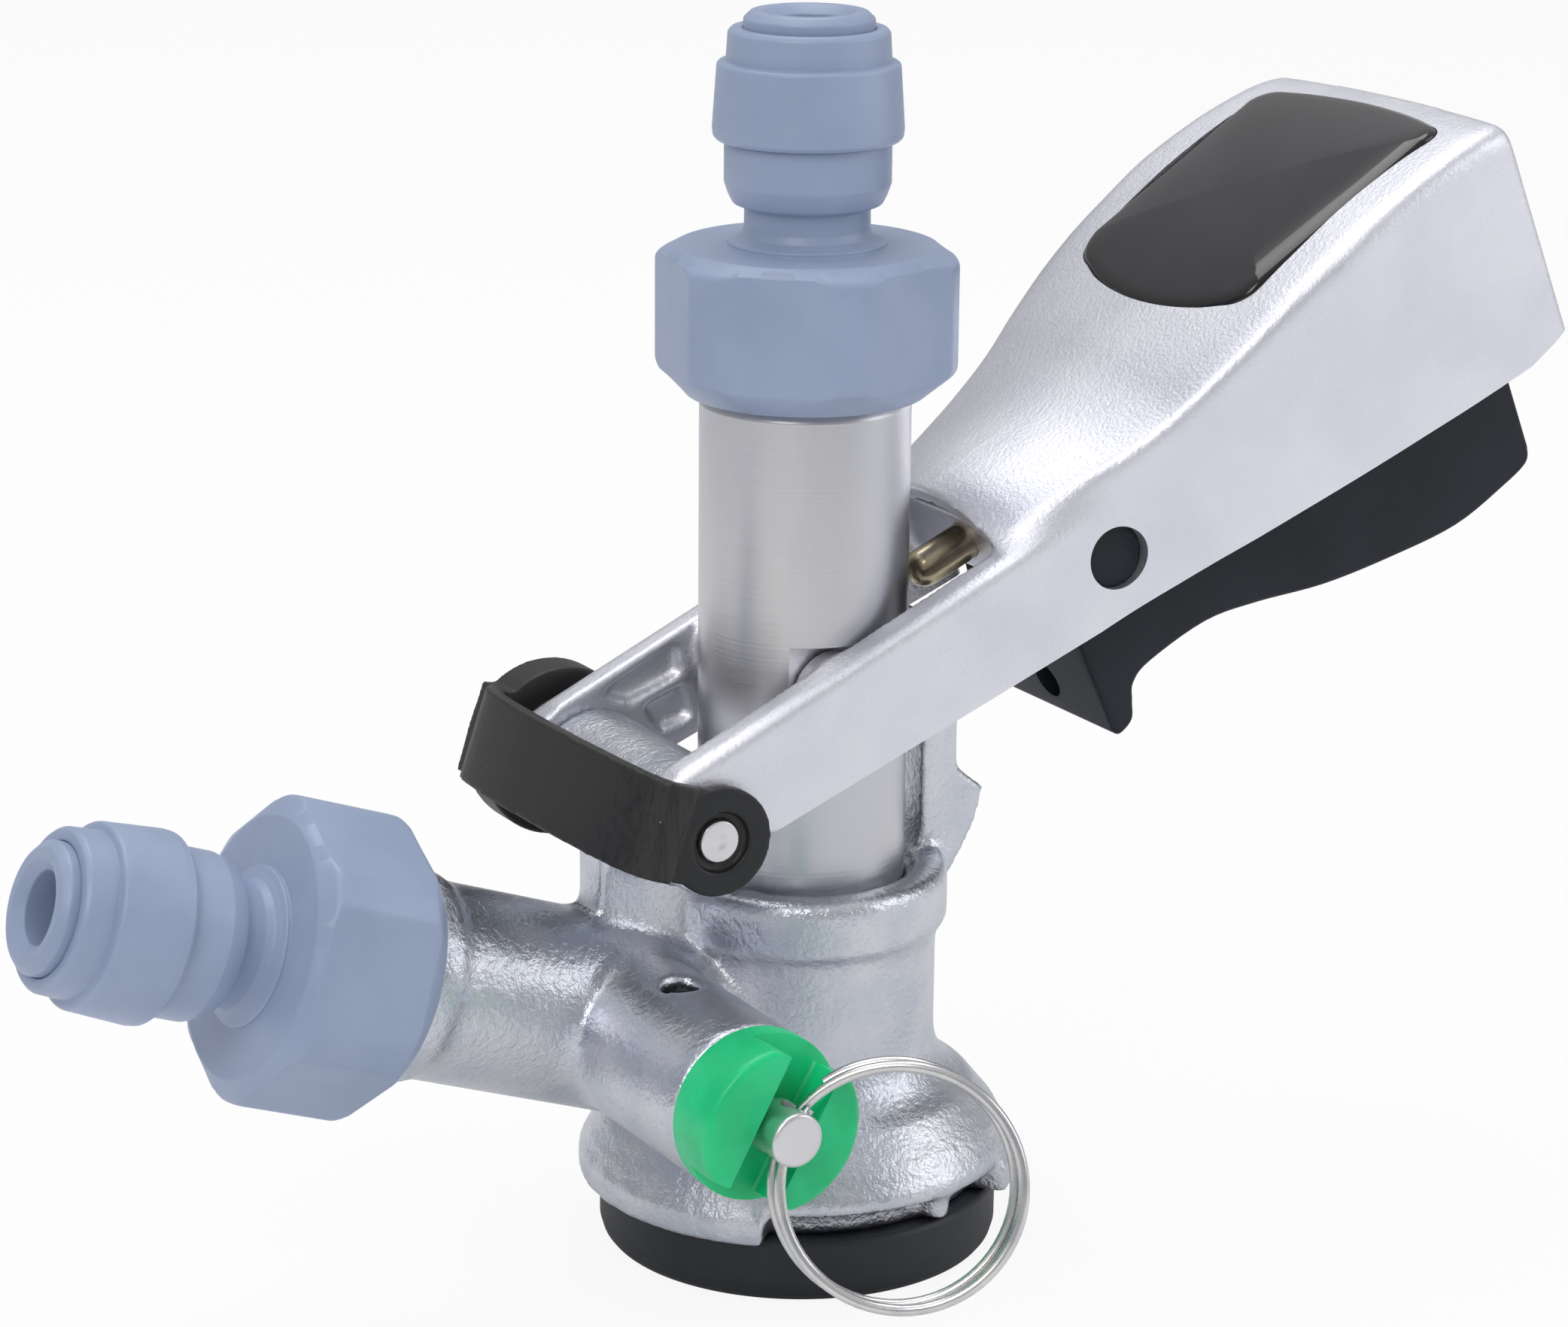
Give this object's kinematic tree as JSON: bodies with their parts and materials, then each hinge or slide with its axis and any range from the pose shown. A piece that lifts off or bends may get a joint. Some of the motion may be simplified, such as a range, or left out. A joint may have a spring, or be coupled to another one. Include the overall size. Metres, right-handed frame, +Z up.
{
  "type": "keg coupler",
  "caption": "Keg coupler with a sliding probe, a forked squeeze lever, a relief valve with a pull ring and push-in tube fittings",
  "frame": {"origin": "on the probe's axis, in the plane of the keg seal's underside", "axes": "+Z up along the probe, +X toward the grip, -Y toward the relief valve"},
  "size_m": [0.1913, 0.0814, 0.1443],
  "materials": {
    "plated_body": "plated and polished, faint orange peel",
    "seal_rubber": "smooth black rubber",
    "probe_steel": "fine turned stainless",
    "satin_handle": "satin, fine grain",
    "badge_gloss": "glossy domed blank",
    "trigger_plastic": "matt moulded",
    "spring_steel": "drawn wire",
    "plunger_brass": "nickel worn brass",
    "pin_steel": "satin",
    "strap_rubber": "matt, lightly scuffed",
    "green_plastic": "satin moulded",
    "ring_steel": "polished wire",
    "fitting_plastic": "satin moulded acetal"
  },
  "bodies": {
    "coupler": {"coupler_body": "plated_body", "keg_seal": "seal_rubber", "hinge_pin": "pin_steel", "pin_strap": "strap_rubber", "gas_check_valve": "seal_rubber", "relief_plug": "green_plastic", "side_fitting_body": "fitting_plastic", "side_cap": "fitting_plastic", "side_grab_ring": "spring_steel", "side_o_rings": "seal_rubber", "side_washer": "seal_rubber"},
    "probe": {"probe_tube": "probe_steel", "probe_seal": "seal_rubber", "probe_o_rings": "seal_rubber", "ball_retainer": "probe_steel", "top_fitting_body": "fitting_plastic", "top_cap": "fitting_plastic", "top_grab_ring": "spring_steel", "top_o_rings": "seal_rubber", "top_washer": "seal_rubber"},
    "ball": {"check_ball": "probe_steel"},
    "lever": {"lever_handle": "satin_handle", "handle_badge": "badge_gloss", "trigger_spring": "spring_steel"},
    "trigger": {"grip_trigger": "trigger_plastic"},
    "plunger": {"latch_plunger": "plunger_brass", "plunger_spring": "spring_steel"},
    "relief": {"relief_stem": "pin_steel", "relief_spring": "spring_steel", "relief_seal": "seal_rubber"},
    "ring": {"pull_ring": "ring_steel"},
    "top_release": {"top_collet": "fitting_plastic"},
    "side_release": {"side_collet": "fitting_plastic"}
  },
  "joints": [
    {"name": "lever_pivot", "type": "hinge", "parent": "coupler", "child": "lever", "pos_m": [-0.021, 0, 0.0567], "axis": [0, 1, 0], "range_deg": [0, 28.5]},
    {"name": "probe_slide", "type": "slide", "parent": "coupler", "child": "probe", "axis": [0, 0, -1], "range_m": [0, 0.01057]},
    {"name": "plunger_slide", "type": "slide", "parent": "lever", "child": "plunger", "axis": [0.91, 0, 0.4147], "range_m": [0, 0.0068]},
    {"name": "trigger_squeeze", "type": "hinge", "parent": "lever", "child": "trigger", "pos_m": [0.0316, 0, 0.0821], "axis": [0, -1, 0], "range_deg": [0, 7], "stiffness_Nm_per_rad": 0.1, "springref_deg": -17.19},
    {"name": "relief_pull", "type": "slide", "parent": "coupler", "child": "relief", "axis": [0, -1, 0], "range_m": [0, 0.003], "stiffness_N_per_m": 800, "springref_m": -0.003},
    {"name": "ring_swing", "type": "hinge", "parent": "relief", "child": "ring", "pos_m": [-0.0255, -0.04048, 0.03143], "axis": [-0.4848, 0, -0.8746], "range_deg": [0, 110]},
    {"name": "top_collet_press", "type": "slide", "parent": "probe", "child": "top_release", "axis": [0, 0, -1], "range_m": [0, 0.0015], "stiffness_N_per_m": 500, "springref_m": -0.001},
    {"name": "side_collet_press", "type": "slide", "parent": "coupler", "child": "side_release", "axis": [0.9415, 0, -0.3371], "range_m": [0, 0.0015], "stiffness_N_per_m": 500, "springref_m": -0.001},
    {"name": "ball_lift", "type": "slide", "parent": "probe", "child": "ball", "axis": [0, 0, 1], "range_m": [0, 0.0028]}
  ],
  "couplings": [
    {"joint": "probe_slide", "follows": "lever_pivot", "m_per_rad": 0.021049},
    {"joint": "plunger_slide", "follows": "lever_pivot", "m_per_rad": 0.01347}
  ]
}
